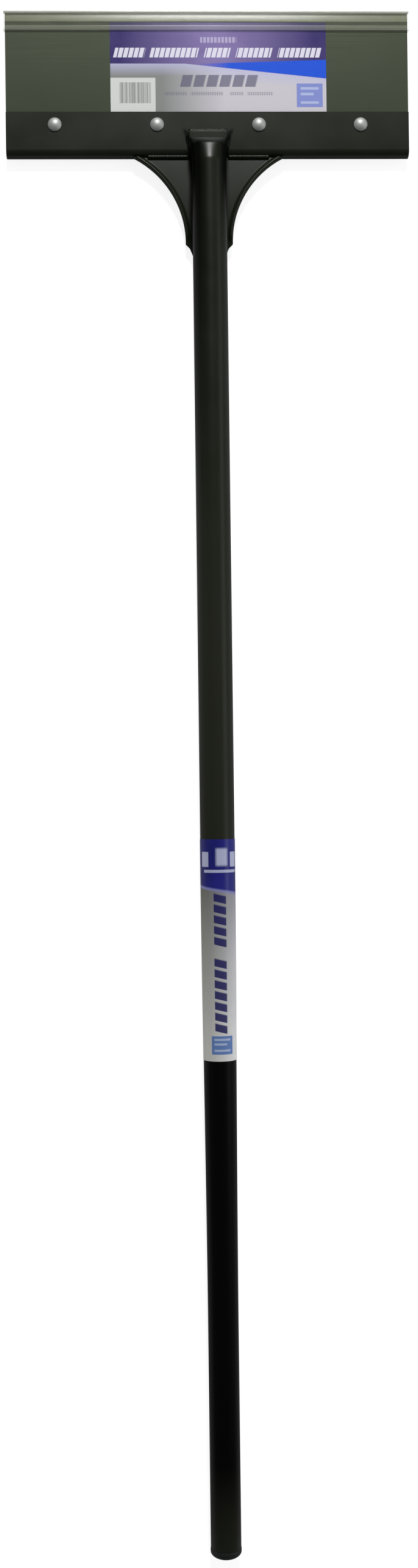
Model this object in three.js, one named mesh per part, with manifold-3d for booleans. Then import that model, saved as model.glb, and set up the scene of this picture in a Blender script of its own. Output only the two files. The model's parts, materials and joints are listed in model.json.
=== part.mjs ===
// A long-handled floor scraper: a wide steel blade bolted to a pressed head plate, which is welded
// with a stamped brace to a tubular steel handle. A clear channel guards the cutting edge.
//
// Millimetres. The tool lies on its back as it would on a floor: +Y runs from the grip end to the
// cutting edge, +X is across the blade and +Z is up, out of the face that shows the bolt heads.
// Everything is drawn in the head's own frame first: z = 0 is the back face of the head plate, and
// y = 0 is the lowest line of its bent lip. The whole tool is then laid down on its bolt ends and
// its end cap.

import * as THREE from "three";
import { mergeVertices } from "three/addons/utils/BufferGeometryUtils.js";
import Module from "manifold-3d";

const wasm = await Module();
wasm.setup();

// ---- Driving dimensions --------------------------------------------------------------------

const SEAT_GAP = 0.1; // between faces that rest on each other
const CUT_GAP = 0.3; // between a piece and the neighbour it is cut to fit

// Head plate: a strip with its lower edge bent back
const HEAD_WIDTH = 356;
const PLATE_HEIGHT = 39;
const PLATE_THICKNESS = 3;
const LIP_RADIUS = 6;
const LIP_DEPTH = 9; // front face of the plate to the end of the lip

// Blade
const BLADE_THICKNESS = 1.6;
const BLADE_BOTTOM = 7.5;
const BLADE_TOP = 127.8;
const BEVEL_HEIGHT = 7.8;
const EDGE_THICKNESS = 0.3;
const CLEAR_BOTTOM = 36; // the stretch of its back that nothing stands on, between the
const CLEAR_TOP = 108; // washers and the edge guard

// Edge guard: a channel over the cutting edge
const GUARD_WIDTH = 358.4;
const GUARD_WALL = 0.9;
const GUARD_DEPTH = 17.5;
const GUARD_TOP_GAP = 0.3;
const GUARD_FRONT_GAP = 0.55; // room for the sticker that runs up under the guard
const GUARD_BACK_GAP = 0.3;
const GUARD_BEAD = 0.6; // how far the stiffening bead on each lip stands out
const GUARD_BEAD_HEIGHT = 3.8;
const GUARD_BEAD_INSET = 1.3; // mouth to the bead

// Bolts, washers and nuts, M6
const BOLT_PITCH = 90;
const BOLT_COUNT = 4;
const BOLT_Y = 27.5;
const DOME_RADIUS = 6;
const DOME_HEIGHT = 3.4;
const DOME_RIM = 0.7; // straight edge under the dome
const SHANK_RADIUS = 2.95;
const NECK_SIDE = 5.9;
const NECK_DEPTH = 2.8;
const NECK_CLEARANCE = 0.25;
const HOLE_RADIUS = 3.3;
const WASHER_RADIUS = 6;
const WASHER_THICKNESS = 1.2;
const SPRING_RADIUS = 5.4;
const SPRING_THICKNESS = 1.5;
const SPRING_SLOT = 1.4;
const NUT_FLATS = 10;
const NUT_HEIGHT = 5;
const BOLT_TAIL = 1.5; // thread showing past the nut
const TAIL_CHAMFER = 0.8;
const RING_SIDES = 20;

// Brace: a stamped tongue behind the handle, its concave edges turned up into rims
const BRACE_THICKNESS = 2.5;
const BRACE_SETBACK = 4; // front of the head plate to the front of the brace
const BRACE_LENGTH = 87;
const BRACE_WAIST = 20.9; // half width where its sides run parallel to the tube
const BRACE_WAIST_Y = -75;
const BRACE_ARC = 84; // radius of the concave sides
const BRACE_SHOULDER_Y = -76.8; // the rims and the waist end here
const BRACE_STEP = 17.4; // half width just past the shoulder
const BRACE_STEP_Y = -80.2;
const BRACE_END = 14.6; // half width of its end, under the tube
const RIM_WIDTH = 4.2;
const RIM_HEIGHT = 3.2;
const ARC_STEPS = 20;

// Handle tube
const TUBE_RADIUS = 15.1;
const TUBE_WALL = 1.8;
const GRIP_RADIUS = 13.4; // after the long taper towards the grip end
const TUBE_TIP_Y = 21;
const TUBE_LENGTH = 1244.6;
const TAPER_TOP_Y = -610;
const TAPER_END_Y = -1040;
const TIP_HALF_WIDTH = 18.2;
const TIP_THICKNESS = 4.4;
const FLAT_END_Y = 14.5; // the pressed flat runs down to here
const ROUND_Y = -12; // and the tube is fully round from here on
const STEP_TOP_Y = 4; // its back steps down from the plate's face, starting here
const STEP_END_Y = -3; // and lies on the brace from here on
const FLAT_SQUARENESS = 0.45; // below 1, the pressed section has fuller corners
const FOLD_PINCH = 0.3; // share by which the crest narrows halfway down the slope
const TIP_RINGS = 12;
const BORE_TOP_Y = -13;
const TUBE_SIDES = 40;
const TAPER_RINGS = 6;

// End cap
const CAP_RIM = 3;
const CAP_DOME = 6.2;
const CAP_LIP = 0.25; // how far its rim stands out past the tube
const PLUG_LENGTH = 22;
const PLUG_WALL = 2;
const PLUG_CLEARANCE = 0.2;

// Stickers
const STICKER = 0.15;
const LABEL_WIDTH = 191;
const LABEL_OFFSET = 9.8; // stuck on a little to the right of the blade's middle
const LABEL_BOTTOM = 40;
const LABEL_TOP = 119;
const WRAP_TOP_Y = -603;
const WRAP_BOTTOM_Y = -796;

// Weld beads: the rod that each is cut from, and where its axis runs
const TIP_BEAD = 2.6;
const TIP_BEAD_RISE = 0.6; // above the tube's tip, and above its back face
const TIP_BEAD_INSET = 0.8;
const TIP_SIDE_START = 3; // below the tip
const TIP_SIDE_END = 15.5;
const TIP_SIDE_OUT = 0.6;
const TIP_SIDE_LEAN = 2.6;
const LIP_BEAD = 1.7;
const LIP_BEAD_Y = 0.2;
const LIP_BEAD_RISE = 0.7; // above the brace
const LIP_BEAD_START = 17;
const LIP_BEAD_END = 54;
const SEAM_BEAD = 2.4;
const SEAM_BEAD_X = 9.6;
const SEAM_BEAD_RISE = 1.6;
const SEAM_BEAD_START = -5;
const SEAM_BEAD_END = -76;
const BEAD_SIDES = 12;

// ---- Derived heights -----------------------------------------------------------------------

const plateFront = PLATE_THICKNESS;
const lipEnd = plateFront - LIP_DEPTH;
const bladeFront = -SEAT_GAP;
const bladeBack = bladeFront - BLADE_THICKNESS;
const washerFront = bladeBack - SEAT_GAP;
const springFront = washerFront - WASHER_THICKNESS - SEAT_GAP;
const nutFront = springFront - SPRING_THICKNESS - SEAT_GAP;
const boltEnd = nutFront - NUT_HEIGHT - BOLT_TAIL;
const braceFront = plateFront - BRACE_SETBACK;
const tubeBack = braceFront + CUT_GAP;
const tubeAxis = tubeBack + TUBE_RADIUS;
const tipBack = plateFront + SEAT_GAP;
const tubeEndY = TUBE_TIP_Y - TUBE_LENGTH;
const guardTop = BLADE_TOP + GUARD_TOP_GAP + GUARD_WALL;

// ---- Colours -------------------------------------------------------------------------------

function finish(color, roughness, metalness) {
  return new THREE.MeshStandardMaterial({ color, roughness, metalness });
}

const BLACK_COAT = finish(0x23261f, 0.55, 0.2);
const SPRING_STEEL = finish(0x4a523c, 0.42, 0.7);
const BRIGHT_ZINC = finish(0xc4c8c4, 0.3, 0.9);
const CLEAR_PLASTIC = finish(0xa9ac98, 0.25, 0);
const BLACK_PLASTIC = finish(0x1a1e1d, 0.6, 0);
const PRINTED_BLUE = finish(0x4a4a90, 0.4, 0);
const PRINTED_SILVER = finish(0xb4b5bd, 0.35, 0.2);

// ---- Solids --------------------------------------------------------------------------------

function toSolid(geometry) {
  const bare = geometry.clone();
  bare.deleteAttribute("normal");
  bare.deleteAttribute("uv");
  const merged = mergeVertices(bare, 1e-4);
  const vertProperties = new Float32Array(merged.attributes.position.array);
  const triVerts = new Uint32Array(merged.index.array);
  return new wasm.Manifold(new wasm.Mesh({ numProp: 3, vertProperties, triVerts }));
}

function toGeometry(solid) {
  const mesh = solid.getMesh();
  const geometry = new THREE.BufferGeometry();
  geometry.setAttribute("position", new THREE.BufferAttribute(mesh.vertProperties, 3));
  geometry.setIndex(new THREE.BufferAttribute(mesh.triVerts, 1));
  geometry.computeVertexNormals();
  return geometry;
}

function cut(geometry, ...tools) {
  let solid = toSolid(geometry);
  for (const tool of tools) solid = solid.subtract(toSolid(tool));
  return toGeometry(solid);
}

function join(...geometries) {
  let solid = toSolid(geometries[0]);
  for (const other of geometries.slice(1)) solid = solid.add(toSolid(other));
  return toGeometry(solid);
}

// A section drawn in (y, z), swept across the tool from x0 to x1.
function acrossX(section, x0, x1) {
  const geometry = new THREE.ExtrudeGeometry(section, { depth: x1 - x0, bevelEnabled: false });
  const turn = new THREE.Matrix4().makeBasis(
    new THREE.Vector3(0, 1, 0),
    new THREE.Vector3(0, 0, 1),
    new THREE.Vector3(1, 0, 0),
  );
  return geometry.applyMatrix4(turn).translate(x0, 0, 0);
}

// An outline drawn in (x, y), raised from z0 to z1.
function raised(outline, z0, z1) {
  const geometry = new THREE.ExtrudeGeometry(outline, { depth: z1 - z0, bevelEnabled: false });
  return geometry.translate(0, 0, z0);
}

function boxBetween(x0, y0, z0, x1, y1, z1) {
  const box = new THREE.BoxGeometry(x1 - x0, y1 - y0, z1 - z0);
  return box.translate((x0 + x1) / 2, (y0 + y1) / 2, (z0 + z1) / 2);
}

// A profile of [radius, height] points, turned about the z axis.
function turnedZ(profile, sides) {
  const points = profile.map(([r, h]) => new THREE.Vector2(r, h));
  return new THREE.LatheGeometry(points, sides).rotateX(Math.PI / 2);
}

function drill(x, y, radius, z0, z1) {
  const rod = new THREE.CylinderGeometry(radius, radius, z1 - z0, RING_SIDES);
  return rod.rotateX(Math.PI / 2).translate(x, y, (z0 + z1) / 2);
}

function polygon(points) {
  return new THREE.Shape(points.map(([a, b]) => new THREE.Vector2(a, b)));
}

const boltXs = [];
for (let i = 0; i < BOLT_COUNT; i++) boltXs.push((i - (BOLT_COUNT - 1) / 2) * BOLT_PITCH);

// ---- Head plate and blade ------------------------------------------------------------------

// The strip's section with its bent lip; grow makes the slightly larger copy that welds are cut by.
function plateSection(grow) {
  const outer = LIP_RADIUS + grow;
  const inner = LIP_RADIUS - PLATE_THICKNESS - grow;
  const bendY = LIP_RADIUS;
  const bendZ = plateFront - LIP_RADIUS;
  const section = new THREE.Shape();
  section.moveTo(PLATE_HEIGHT + grow, plateFront + grow);
  section.lineTo(bendY, plateFront + grow);
  section.absarc(bendY, bendZ, outer, Math.PI / 2, Math.PI, false);
  section.lineTo(-grow, lipEnd - grow);
  section.lineTo(PLATE_THICKNESS + grow, lipEnd - grow);
  section.lineTo(PLATE_THICKNESS + grow, bendZ);
  section.absarc(bendY, bendZ, inner, Math.PI, Math.PI / 2, true);
  section.lineTo(PLATE_HEIGHT + grow, -grow);
  return section;
}

function headPlate() {
  const strip = acrossX(plateSection(0), -HEAD_WIDTH / 2, HEAD_WIDTH / 2);
  const half = NECK_SIDE / 2 + NECK_CLEARANCE;
  const squareHoles = boltXs.map((x) =>
    boxBetween(x - half, BOLT_Y - half, -1, x + half, BOLT_Y + half, plateFront + 1),
  );
  return cut(strip, ...squareHoles);
}

// One sheet, joined from three strips so that the clear stretch of its back is a face of its own.
function blade() {
  const half = HEAD_WIDTH / 2;
  const bolted = boxBetween(-half, BLADE_BOTTOM, bladeBack, half, CLEAR_BOTTOM, bladeFront);
  const clear = boxBetween(-half, CLEAR_BOTTOM, bladeBack, half, CLEAR_TOP, bladeFront);
  const ground = polygon([
    [CLEAR_TOP, bladeBack],
    [BLADE_TOP, bladeBack],
    [BLADE_TOP, bladeBack + EDGE_THICKNESS],
    [BLADE_TOP - BEVEL_HEIGHT, bladeFront],
    [CLEAR_TOP, bladeFront],
  ]);
  const sheet = join(bolted, clear, acrossX(ground, -half, half));
  return cut(sheet, ...boltXs.map((x) => drill(x, BOLT_Y, HOLE_RADIUS, bladeBack - 1, 1)));
}

// A channel with a stiffening bead along each lip, open towards the handle.
function edgeGuard() {
  const innerFront = bladeFront + GUARD_FRONT_GAP;
  const innerBack = bladeBack - GUARD_BACK_GAP;
  const front = innerFront + GUARD_WALL;
  const back = innerBack - GUARD_WALL;
  const mouth = guardTop - GUARD_DEPTH;
  const beadLow = mouth + GUARD_BEAD_INSET;
  const beadTop = beadLow + GUARD_BEAD_HEIGHT;
  const section = polygon([
    [guardTop - GUARD_WALL / 2, back],
    [guardTop, back + GUARD_WALL / 2],
    [guardTop, front - GUARD_WALL / 2],
    [guardTop - GUARD_WALL / 2, front],
    [beadTop, front],
    [beadTop - GUARD_BEAD, front + GUARD_BEAD],
    [beadLow + GUARD_BEAD, front + GUARD_BEAD],
    [beadLow, front],
    [mouth, front],
    [mouth, innerFront],
    [guardTop - GUARD_WALL, innerFront],
    [guardTop - GUARD_WALL, innerBack],
    [mouth, innerBack],
    [mouth, back],
    [beadLow, back],
    [beadLow + GUARD_BEAD, back - GUARD_BEAD],
    [beadTop - GUARD_BEAD, back - GUARD_BEAD],
    [beadTop, back],
  ]);
  return acrossX(section, -GUARD_WIDTH / 2, GUARD_WIDTH / 2);
}

// ---- Fasteners -----------------------------------------------------------------------------

function domeBolt() {
  const seat = plateFront + SEAT_GAP;
  const profile = [[0, boltEnd]];
  profile.push([SHANK_RADIUS - TAIL_CHAMFER, boltEnd]);
  profile.push([SHANK_RADIUS, boltEnd + TAIL_CHAMFER]);
  profile.push([SHANK_RADIUS, seat]);
  profile.push([DOME_RADIUS, seat]);
  const rise = DOME_HEIGHT - DOME_RIM;
  const ballRadius = (DOME_RADIUS ** 2 + rise ** 2) / (2 * rise);
  const sweep = Math.asin(DOME_RADIUS / ballRadius);
  const rings = 5;
  for (let i = 0; i <= rings; i++) {
    const a = sweep * (1 - i / rings);
    const height = seat + DOME_HEIGHT - ballRadius * (1 - Math.cos(a));
    profile.push([i === rings ? 0 : ballRadius * Math.sin(a), height]);
  }
  const half = NECK_SIDE / 2;
  const neck = boxBetween(-half, -half, plateFront - NECK_DEPTH, half, half, seat + 0.2);
  return join(turnedZ(profile, RING_SIDES), neck);
}

function ring(outer, z1, thickness) {
  const inner = HOLE_RADIUS;
  const z0 = z1 - thickness;
  const profile = [[inner, z0], [outer, z0], [outer, z1], [inner, z1], [inner, z0]];
  return turnedZ(profile, RING_SIDES);
}

function springWasher() {
  const whole = ring(SPRING_RADIUS, springFront, SPRING_THICKNESS);
  const half = SPRING_SLOT / 2;
  const slot = boxBetween(0, -half, springFront - 3, SPRING_RADIUS + 1, half, springFront + 1);
  return cut(whole, slot);
}

function hexNut() {
  const corner = NUT_FLATS / Math.sqrt(3);
  const points = [];
  for (let i = 0; i < 6; i++) {
    const a = (i * Math.PI) / 3;
    points.push([corner * Math.cos(a), corner * Math.sin(a)]);
  }
  const back = nutFront - NUT_HEIGHT;
  const hex = raised(polygon(points), back, nutFront);
  return cut(hex, drill(0, 0, HOLE_RADIUS - 0.1, back - 1, nutFront + 1));
}

// ---- Brace ---------------------------------------------------------------------------------

// Half width of the brace at a height y: a concave arc that runs out into the parallel waist.
function braceHalfWidth(y) {
  if (y <= BRACE_WAIST_Y) return BRACE_WAIST;
  const rise = y - BRACE_WAIST_Y;
  return BRACE_WAIST + BRACE_ARC - Math.sqrt(BRACE_ARC ** 2 - rise ** 2);
}

// One side's edge from the lip down to the shoulder, moved inwards by inset.
function braceEdge(inset) {
  const top = -CUT_GAP;
  const points = [];
  for (let i = 0; i <= ARC_STEPS; i++) {
    const y = top + (BRACE_WAIST_Y - top) * Math.sin((i / ARC_STEPS) * (Math.PI / 2));
    const lean = Math.hypot(1, (y - BRACE_WAIST_Y) / (BRACE_ARC + inset));
    points.push([braceHalfWidth(y) - inset * lean, y]);
  }
  points.push([BRACE_WAIST - inset, BRACE_SHOULDER_Y]);
  return points;
}

function bracePlate() {
  const back = braceFront - BRACE_THICKNESS;
  const edge = braceEdge(0);
  const right = [...edge, [BRACE_STEP, BRACE_STEP_Y], [BRACE_END, -BRACE_LENGTH]];
  const left = [...right].reverse().map(([x, y]) => [-x, y]);
  const sheet = raised(polygon([...left, ...right].reverse()), back, braceFront);
  const band = [...edge, ...braceEdge(RIM_WIDTH).reverse()];
  const crown = RIM_HEIGHT;
  const rims = [1, -1].map((side) =>
    raised(polygon(band.map(([x, y]) => [side * x, y])), braceFront - 1, braceFront + crown),
  );
  return join(sheet, ...rims);
}

// ---- Handle --------------------------------------------------------------------------------

function mix(a, b, t) {
  return a + (b - a) * t;
}

function between(y, from, to) {
  return Math.min(1, Math.max(0, (y - from) / (to - from)));
}

function smooth(t) {
  return t * t * (3 - 2 * t);
}

function tubeRadius(y) {
  return mix(TUBE_RADIUS, GRIP_RADIUS, smooth(between(y, TAPER_TOP_Y, TAPER_END_Y)));
}

// Presses the round tube's head end down onto the plate: each cross-section keeps its turn but
// takes the local half width, and the local height between its back and front.
function pressFlat(geometry) {
  const position = geometry.attributes.position;
  for (let i = 0; i < position.count; i++) {
    const y = position.getY(i);
    const round = between(y, FLAT_END_Y, ROUND_Y);
    if (round >= 1) {
      position.setZ(i, position.getZ(i) + tubeAxis);
      continue;
    }
    const full = smooth(round);
    const climb = 1 - (1 - round) ** 3; // steep from the flat, then easing into the round
    const back = mix(tipBack, tubeBack, between(y, STEP_TOP_Y, STEP_END_Y));
    const front = mix(tipBack + TIP_THICKNESS, tubeBack + 2 * TUBE_RADIUS, climb);
    const flare = 1 - smooth(between(y, TUBE_TIP_Y, ROUND_Y));
    const halfWidth = mix(TUBE_RADIUS, TIP_HALF_WIDTH, flare);
    const halfHeight = (front - back) / 2;
    const across = position.getX(i) / TUBE_RADIUS;
    const up = position.getZ(i) / TUBE_RADIUS;
    const square = mix(FLAT_SQUARENESS, 1, full);
    const lift = Math.sign(up) * Math.abs(up) ** square;
    const pinch = FOLD_PINCH * 4 * round * (1 - round) * Math.max(0, lift);
    position.setX(i, across * halfWidth * (1 - pinch));
    position.setZ(i, (front + back) / 2 + lift * halfHeight);
  }
  return geometry;
}

function handleTube() {
  const tip = [TUBE_TIP_Y];
  for (let i = 0; i <= TIP_RINGS; i++) tip.push(mix(FLAT_END_Y, ROUND_Y, i / TIP_RINGS));
  const taper = [];
  for (let i = 0; i <= TAPER_RINGS; i++) {
    taper.push(mix(TAPER_TOP_Y, TAPER_END_Y, i / TAPER_RINGS));
  }
  const outside = [...tip, ...taper, tubeEndY];
  const profile = [[0, TUBE_TIP_Y]];
  for (const y of outside) profile.push([tubeRadius(y), y]);
  const inside = [tubeEndY, ...taper.reverse(), BORE_TOP_Y];
  for (const y of inside) profile.push([tubeRadius(y) - TUBE_WALL, y]);
  profile.push([0, BORE_TOP_Y]);
  const points = profile.map(([r, y]) => new THREE.Vector2(r, y)).reverse();
  return pressFlat(new THREE.LatheGeometry(points, TUBE_SIDES));
}

function endCap() {
  const rim = GRIP_RADIUS + CAP_LIP;
  const plug = GRIP_RADIUS - TUBE_WALL - PLUG_CLEARANCE;
  const seat = tubeEndY - SEAT_GAP;
  const profile = [];
  const rings = 6;
  for (let i = 0; i <= rings; i++) {
    const a = (i / rings) * (Math.PI / 2);
    profile.push([i === 0 ? 0 : rim * Math.sin(a), seat - CAP_RIM - CAP_DOME * Math.cos(a)]);
  }
  profile.push([rim, seat]);
  profile.push([plug, seat]);
  profile.push([plug, seat + PLUG_LENGTH]);
  profile.push([plug - PLUG_WALL, seat + PLUG_LENGTH]);
  profile.push([plug - PLUG_WALL, seat - CAP_RIM]);
  profile.push([0, seat - CAP_RIM]);
  const points = profile.map(([r, y]) => new THREE.Vector2(r, y));
  return new THREE.LatheGeometry(points, TUBE_SIDES).translate(0, 0, tubeAxis);
}

// ---- Stickers ------------------------------------------------------------------------------

function bladeLabel() {
  const back = bladeFront + SEAT_GAP;
  const left = LABEL_OFFSET - LABEL_WIDTH / 2;
  const right = LABEL_OFFSET + LABEL_WIDTH / 2;
  return boxBetween(left, LABEL_BOTTOM, back, right, LABEL_TOP, back + STICKER);
}

// A sleeve round the tube that follows its taper.
function handleLabel() {
  const steps = 4;
  const outer = [];
  const inner = [];
  for (let i = 0; i <= steps; i++) {
    const y = mix(WRAP_BOTTOM_Y, WRAP_TOP_Y, i / steps);
    outer.push([tubeRadius(y) + SEAT_GAP + STICKER, y]);
    inner.push([tubeRadius(y) + SEAT_GAP, y]);
  }
  const profile = [...outer, ...inner.reverse(), outer[0]];
  const points = profile.map(([r, y]) => new THREE.Vector2(r, y));
  return new THREE.LatheGeometry(points, TUBE_SIDES).translate(0, 0, tubeAxis);
}

// ---- Weld beads ----------------------------------------------------------------------------

function bead(radius, from, to) {
  const start = new THREE.Vector3(...from);
  const end = new THREE.Vector3(...to);
  const run = new THREE.Vector3().subVectors(end, start);
  const rod = new THREE.CylinderGeometry(radius, radius, run.length(), BEAD_SIDES);
  const turn = new THREE.Quaternion().setFromUnitVectors(
    new THREE.Vector3(0, 1, 0),
    run.clone().normalize(),
  );
  const middle = start.add(end).multiplyScalar(0.5);
  return rod.applyQuaternion(turn).translate(middle.x, middle.y, middle.z);
}

// The tube's own shape, swollen by the gap that a bead keeps to it.
function swollenTube() {
  const swell = 1 + CUT_GAP / TUBE_RADIUS;
  const tube = handleTube();
  const grown = tube.clone().translate(0, 0, -tubeAxis).scale(swell, 1, swell);
  return join(grown.translate(0, CUT_GAP, tubeAxis), tube);
}

function plateCutter() {
  return acrossX(plateSection(CUT_GAP), -HEAD_WIDTH / 2 - 1, HEAD_WIDTH / 2 + 1);
}

// Everything below the brace's front face.
function braceCutter() {
  const half = HEAD_WIDTH / 2;
  const deep = lipEnd - LIP_DEPTH;
  return boxBetween(-half, -2 * BRACE_LENGTH, deep, half, LIP_BEAD, braceFront + CUT_GAP);
}

// One bead across the tip of the pressed tube.
function tipBead() {
  const half = TIP_HALF_WIDTH - TIP_BEAD_INSET;
  const y = TUBE_TIP_Y + TIP_BEAD_RISE;
  const z = tipBack + TIP_BEAD_RISE;
  return bead(TIP_BEAD, [-half, y, z], [half, y, z]);
}

// One down each of its flared sides.
function tipSideBead(side) {
  const outer = TIP_HALF_WIDTH - TIP_BEAD_INSET + TIP_SIDE_OUT;
  const z = tipBack + TIP_BEAD_RISE;
  const from = [side * outer, TUBE_TIP_Y - TIP_SIDE_START, z];
  const to = [side * (outer - TIP_SIDE_LEAN), TUBE_TIP_Y - TIP_SIDE_END, z];
  return bead(TIP_BEAD, from, to);
}

function lipBead(side) {
  const z = braceFront + LIP_BEAD_RISE;
  return bead(LIP_BEAD, [side * LIP_BEAD_START, LIP_BEAD_Y, z], [side * LIP_BEAD_END, LIP_BEAD_Y, z]);
}

function seamBead(side) {
  const x = side * SEAM_BEAD_X;
  const z = braceFront + SEAM_BEAD_RISE;
  return bead(SEAM_BEAD, [x, SEAM_BEAD_START, z], [x, SEAM_BEAD_END, z]);
}

// ---- The tool ------------------------------------------------------------------------------

const tool = new THREE.Group();

function add(name, geometry, material, x = 0, y = 0) {
  const mesh = new THREE.Mesh(geometry, material);
  mesh.name = name;
  mesh.position.set(x, y, 0);
  tool.add(mesh);
}

add("head_plate", headPlate(), BLACK_COAT);
add("blade", blade(), SPRING_STEEL);
add("brace_plate", bracePlate(), BLACK_COAT);
add("handle_tube", handleTube(), BLACK_COAT);
add("end_cap", endCap(), BLACK_PLASTIC);
add("edge_guard", edgeGuard(), CLEAR_PLASTIC);
add("blade_label", bladeLabel(), PRINTED_BLUE);
add("handle_label", handleLabel(), PRINTED_SILVER);

boltXs.forEach((x, i) => {
  const n = i + 1;
  add(`dome_bolt_${n}`, domeBolt(), BRIGHT_ZINC, x, BOLT_Y);
  const washer = ring(WASHER_RADIUS, washerFront, WASHER_THICKNESS);
  add(`flat_washer_${n}`, washer, BRIGHT_ZINC, x, BOLT_Y);
  add(`spring_washer_${n}`, springWasher(), BRIGHT_ZINC, x, BOLT_Y);
  add(`hex_nut_${n}`, hexNut(), BRIGHT_ZINC, x, BOLT_Y);
});

const plateTool = plateCutter();
const tubeTool = swollenTube();
const braceTool = braceCutter();
add("tip_weld_top", cut(tipBead(), plateTool, tubeTool), BLACK_COAT);
for (const [name, side] of [["left", -1], ["right", 1]]) {
  add(`tip_weld_${name}`, cut(tipSideBead(side), plateTool, tubeTool), BLACK_COAT);
  add(`lip_weld_${name}`, cut(lipBead(side), plateTool, braceTool), BLACK_COAT);
  add(`seam_weld_${name}`, cut(seamBead(side), tubeTool, braceTool), BLACK_COAT);
}

// Lay the tool down: the tilt brings the end cap's rim level with the ends of the bolts.
const capLow = tubeAxis - GRIP_RADIUS - CAP_LIP;
const restSlope = (capLow - boltEnd) / (BOLT_Y - tubeEndY + CAP_RIM);
tool.rotation.x = Math.asin(restSlope);
const lying = new THREE.Group();
lying.add(tool);
lying.updateMatrixWorld(true);
const box = new THREE.Box3().setFromObject(lying, true);
const middle = box.getCenter(new THREE.Vector3());
tool.position.set(-middle.x, -middle.y, -box.min.z);
lying.updateMatrixWorld(true);

export default lying;
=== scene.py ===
"""The looks of a long-handled floor scraper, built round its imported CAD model.

Every piece is drawn in the head's own frame, in millimetres: z = 0 is the back face of the head
plate, y = 0 the lowest line of its bent lip, +Y runs to the cutting edge and +Z out of the face
with the bolt heads. place() then lays each piece down in the shared frame, in metres.
"""

import json
import math

import bmesh
import bpy
from mathutils import Matrix, Vector


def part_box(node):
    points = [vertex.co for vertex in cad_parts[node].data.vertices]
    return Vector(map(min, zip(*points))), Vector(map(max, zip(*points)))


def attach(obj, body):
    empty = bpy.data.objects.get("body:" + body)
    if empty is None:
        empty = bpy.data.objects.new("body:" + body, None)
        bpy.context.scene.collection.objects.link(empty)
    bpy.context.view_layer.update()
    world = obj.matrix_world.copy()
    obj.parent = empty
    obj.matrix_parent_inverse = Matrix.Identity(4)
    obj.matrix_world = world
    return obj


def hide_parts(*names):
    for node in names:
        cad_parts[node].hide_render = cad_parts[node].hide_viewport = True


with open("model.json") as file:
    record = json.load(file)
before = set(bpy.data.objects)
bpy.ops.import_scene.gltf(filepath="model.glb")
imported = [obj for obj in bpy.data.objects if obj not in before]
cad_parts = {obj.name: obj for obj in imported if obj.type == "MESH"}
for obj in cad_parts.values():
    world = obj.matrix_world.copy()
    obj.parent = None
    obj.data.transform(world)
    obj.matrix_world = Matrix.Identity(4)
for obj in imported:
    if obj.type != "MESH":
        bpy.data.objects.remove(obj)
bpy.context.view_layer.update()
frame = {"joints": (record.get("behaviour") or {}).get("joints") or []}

MM = 0.001
SEAT_GAP = 0.1  # between faces that rest on each other

# Head plate
HEAD_HALF = 178
PLATE_TOP = 39
PLATE_FRONT = 3
LIP_RADIUS = 6
LIP_END = -6
HEAD_SOFTENING = 0.5

# Blade
BLADE_BACK = -1.7
BLADE_FRONT = -0.1
BLADE_BOTTOM = 7.5
BLADE_TOP = 127.8
BEVEL_HEIGHT = 7.8
EDGE_THICKNESS = 0.3
BLADE_SOFTENING = 0.12

# Edge guard
GUARD_HALF = 179.2
GUARD_TOP = 129
GUARD_MOUTH = 111.5
GUARD_WALL = 0.9
GUARD_INNER_FRONT = 0.45
GUARD_INNER_BACK = -2.0
GUARD_BEAD = 0.6
GUARD_BEAD_LOW = 112.8
GUARD_BEAD_TOP = 116.6
GUARD_INNER_CORNER = 0.5
GUARD_SOFTENING = 0.12

# Bolts, washers and nuts
BOLT_XS = (-135, -45, 45, 135)
BOLT_Y = 27.5
BOLT_SEAT = 3.1
BOLT_END = -11.2
DOME_RADIUS = 6
DOME_HEIGHT = 3.4
DOME_RIM = 0.7
DOME_EDGE = ((0.25, 0), (0.06, 0.08), (0, 0.25))  # its rounded lower edge, as (inset, rise)
SHANK_RADIUS = 2.95
SHANK_PLAIN = -2.0
THREAD_TOP = -2.4
THREAD_PITCH = 1.0
THREAD_DEPTH = 0.3
THREAD_FLANK = 1.4
BOLT_TAIL = 0.8
NECK_HALF = 2.95
NECK_DEPTH = 2.8
NECK_OVERLAP = 0.05
CUT_REACH = 5
HOLE_RADIUS = 3.3
SQUARE_HALF = 3.2
WASHER_RADIUS = 6
WASHER_FRONT = -1.8
WASHER_BACK = -3.0
WASHER_ROUNDING = 0.2
SPRING_RADIUS = 5.4
SPRING_FRONT = -3.1
SPRING_BACK = -4.6
SPRING_SLOT = 1.4
SPRING_ROUNDING = 0.15
SPRING_SET = 0.15  # how far each end of the split ring stands out of line
NUT_FRONT = -4.7
NUT_BACK = -9.7
NUT_FLATS = 10
NUT_CHAMFER = 0.15
NUT_CONE = 30
NUT_MOUTH = 0.5
NUT_CLEARANCE = 0.05  # round the shank, and then round the hole's mouth
NUT_FLARE = 0.1
NUT_CHAMFER_STEPS = (0, 0.12, 0.25, 0.4, 0.55)

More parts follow.
